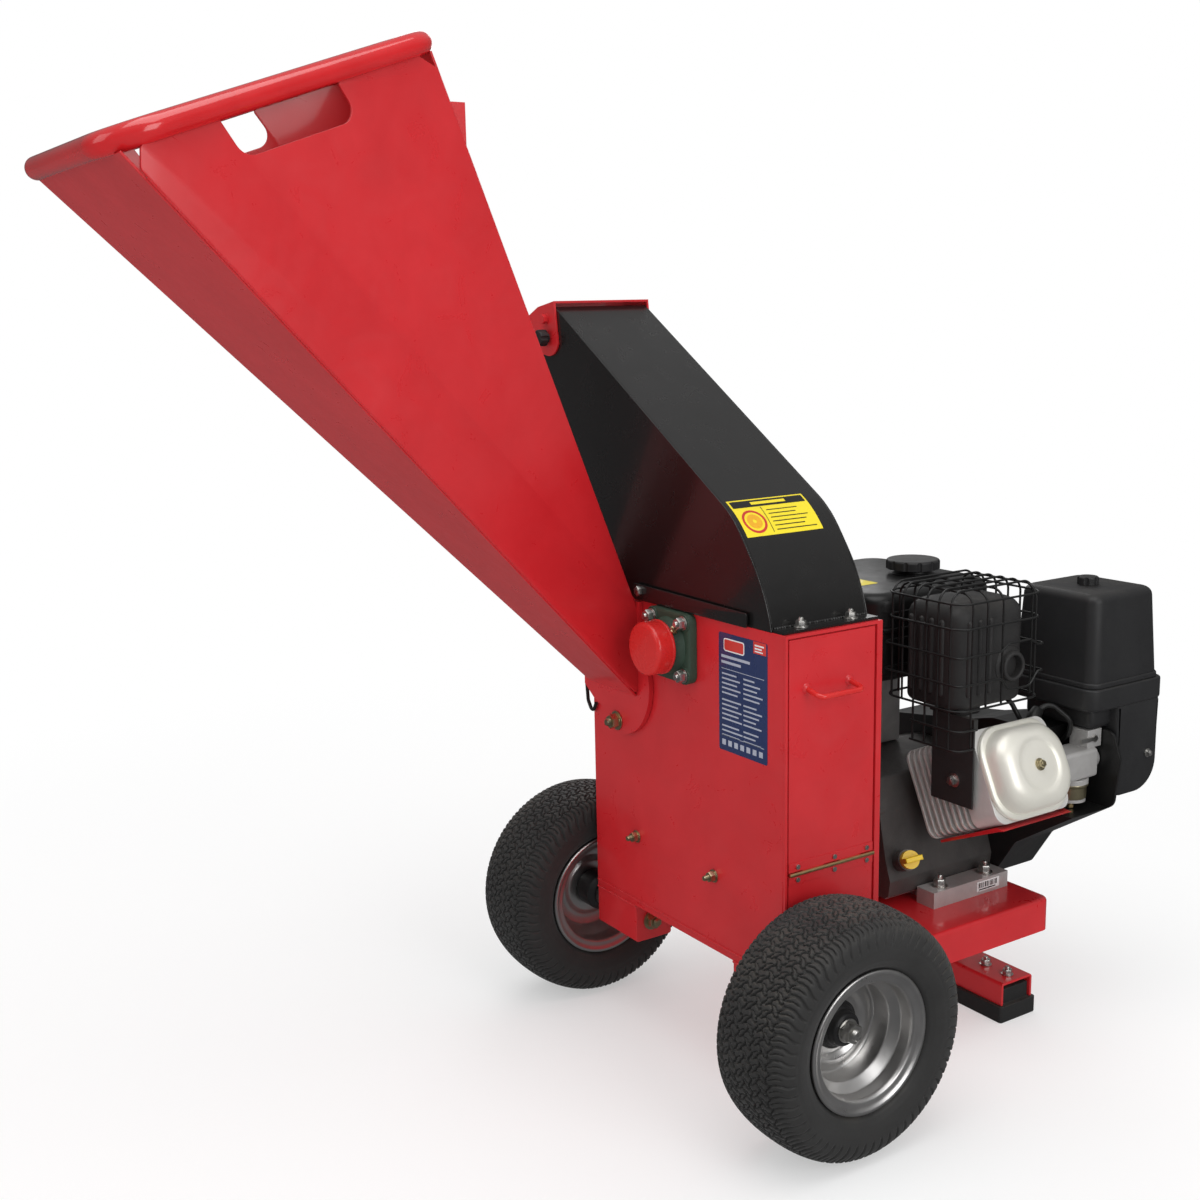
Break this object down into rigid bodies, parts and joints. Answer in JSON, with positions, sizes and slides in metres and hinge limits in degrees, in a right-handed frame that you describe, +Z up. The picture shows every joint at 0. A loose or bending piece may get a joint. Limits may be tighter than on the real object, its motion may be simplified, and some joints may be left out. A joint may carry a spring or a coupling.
{
  "type": "wood chipper",
  "caption": "Wheeled petrol wood chipper: side-swinging feed hopper, disc rotor housing with access door, tall discharge chute with tilting deflector, belt-driven engine on a folded frame.",
  "frame": {"origin": "on the ground, under the centre of the machine's bounding box", "axes": "+X along the axle towards the wheel on the access-door side, +Y from the feed hopper towards the engine, +Z up"},
  "size_m": [0.7708, 1.4242, 1.3685],
  "materials": {
    "red_paint": "glossy powder coat",
    "black_paint": "gloss powder coat",
    "bare_steel": "ground steel",
    "tool_steel": "ground hardened steel",
    "cast_grey": "machined cast iron",
    "green_cast": "dark green cast iron",
    "belt_rubber": "matt",
    "rubber_black": "matt",
    "tyre_rubber": "matt moulded",
    "rim_silver": "bright plated",
    "zinc": "zinc plated",
    "brass": "plated hinge",
    "black_plastic": "moulded",
    "red_plastic": "moulded gloss",
    "yellow_plastic": "moulded",
    "cast_alloy": "die cast",
    "gold_steel": "champagne metallic",
    "muffler_black": "heat-proof satin black",
    "gloss_black": "gloss black"
  },
  "bodies": {
    "chassis": {"front_plate": "red_paint", "rear_plate": "red_paint", "wrap_sheet": "red_paint", "door_frame": "red_paint", "scroll_liner": "bare_steel", "bed_knife": "tool_steel", "v_belts": "belt_rubber", "belt_guard": "black_paint", "bearing_housings": "green_cast", "bearing_cap": "red_plastic", "engine_frame": "red_paint", "frame_brackets": "red_paint", "foot_channel": "red_paint", "foot_pads": "rubber_black", "axle_stubs": "zinc", "hinge_fixed_leaf": "brass", "chute_body": "black_paint", "chute_wrapper": "black_paint", "crankcase": "cast_alloy", "cylinder_block": "cast_alloy", "valve_cover": "gold_steel", "lower_shroud": "red_paint", "muffler": "muffler_black", "muffler_guard": "muffler_black", "heat_shield": "muffler_black", "fuel_tank": "gloss_black", "air_filter_base": "black_plastic", "air_filter_cover": "black_plastic", "carburetor": "cast_alloy", "blower_housing": "gloss_black", "recoil_cover": "gloss_black", "hex_bolts": "zinc"},
    "rotor": {"rotor_disc": "bare_steel", "rotor_shaft": "bare_steel", "rotor_knives": "tool_steel", "fan_paddles": "bare_steel", "driven_pulley": "cast_grey"},
    "crank_drive": {"drive_pulley": "cast_grey"},
    "wheel_right": {"tyre_right": "tyre_rubber", "rim_right": "rim_silver", "hub_right": "black_plastic"},
    "wheel_left": {"tyre_left": "tyre_rubber", "rim_left": "rim_silver", "hub_left": "black_plastic"},
    "hopper": {"hopper_side_panels": "red_paint", "hopper_floor_back": "red_paint", "hopper_flange": "red_paint", "rim_tube": "red_paint"},
    "door": {"access_door": "red_paint", "door_handle": "red_paint", "hinge_moving_leaf": "brass"},
    "deflector": {"deflector_hood": "red_paint"},
    "knob_front": {"deflector_knob_front": "black_plastic"},
    "knob_rear": {"deflector_knob_rear": "black_plastic"},
    "tank_cap": {"fuel_cap": "black_plastic"},
    "cleaner_knob": {"air_filter_knob": "black_plastic"},
    "oil_dipstick": {"dipstick": "yellow_plastic"},
    "starter_handle": {"recoil_handle": "black_plastic"},
    "throttle": {"throttle_lever": "zinc"},
    "choke": {"choke_lever": "zinc"}
  },
  "joints": [
    {"name": "rotor_spin", "type": "hinge", "parent": "chassis", "child": "rotor", "pos_m": [0.0226, 0.11406, 0.597], "axis": [0, 1, 0], "continuous": true},
    {"name": "crank_spin", "type": "hinge", "parent": "chassis", "child": "crank_drive", "pos_m": [0.03859, 0.26405, 0.3], "axis": [0, 1, 0], "continuous": true},
    {"name": "wheel_right_spin", "type": "hinge", "parent": "chassis", "child": "wheel_right", "pos_m": [0.3212, 0.06406, 0.16], "axis": [1, 0, 0], "continuous": true},
    {"name": "wheel_left_spin", "type": "hinge", "parent": "chassis", "child": "wheel_left", "pos_m": [-0.26, 0.06406, 0.16], "axis": [1, 0, 0], "continuous": true},
    {"name": "hopper_swing", "type": "hinge", "parent": "chassis", "child": "hopper", "pos_m": [-0.11141, 0.03206, 0.462], "axis": [0, -1, 0], "range_deg": [0, 90]},
    {"name": "door_open", "type": "hinge", "parent": "chassis", "child": "door", "pos_m": [0.25129, 0.11406, 0.339], "axis": [0, 1, 0], "range_deg": [0, 90]},
    {"name": "deflector_tilt", "type": "hinge", "parent": "chassis", "child": "deflector", "pos_m": [-0.28541, 0.11406, 1.026], "axis": [0, 1, 0], "range_deg": [-12, 10]},
    {"name": "front_knob_turn", "type": "hinge", "parent": "deflector", "child": "knob_front", "pos_m": [-0.28241, 0.02405, 0.999], "axis": [0, 1, 0], "continuous": true},
    {"name": "rear_knob_turn", "type": "hinge", "parent": "deflector", "child": "knob_rear", "pos_m": [-0.28241, 0.20405, 0.999], "axis": [0, 1, 0], "continuous": true},
    {"name": "fuel_cap_turn", "type": "hinge", "parent": "chassis", "child": "tank_cap", "pos_m": [0.0006, 0.49406, 0.65], "axis": [0, 0, 1], "range_deg": [0, 90]},
    {"name": "cleaner_knob_turn", "type": "hinge", "parent": "chassis", "child": "cleaner_knob", "pos_m": [0.2136, 0.63106, 0.64], "axis": [0, 0, 1], "continuous": true},
    {"name": "dipstick_turn", "type": "hinge", "parent": "chassis", "child": "oil_dipstick", "pos_m": [0.16449, 0.33342, 0.26767], "axis": [0.8554, -0.3304, 0.3989], "continuous": true},
    {"name": "starter_pull", "type": "slide", "parent": "chassis", "child": "starter_handle", "axis": [-1, 0, 0], "range_m": [0, 0.5]},
    {"name": "throttle_move", "type": "hinge", "parent": "chassis", "child": "throttle", "pos_m": [0.0266, 0.60606, 0.408], "axis": [0, 1, 0], "range_deg": [-25, 25]},
    {"name": "choke_move", "type": "hinge", "parent": "chassis", "child": "choke", "pos_m": [0.27559, 0.58305, 0.427], "axis": [1, 0, 0], "range_deg": [-30, 0]}
  ],
  "couplings": [
    {"joint": "crank_spin", "follows": "rotor_spin", "ratio": 1.2821}
  ]
}
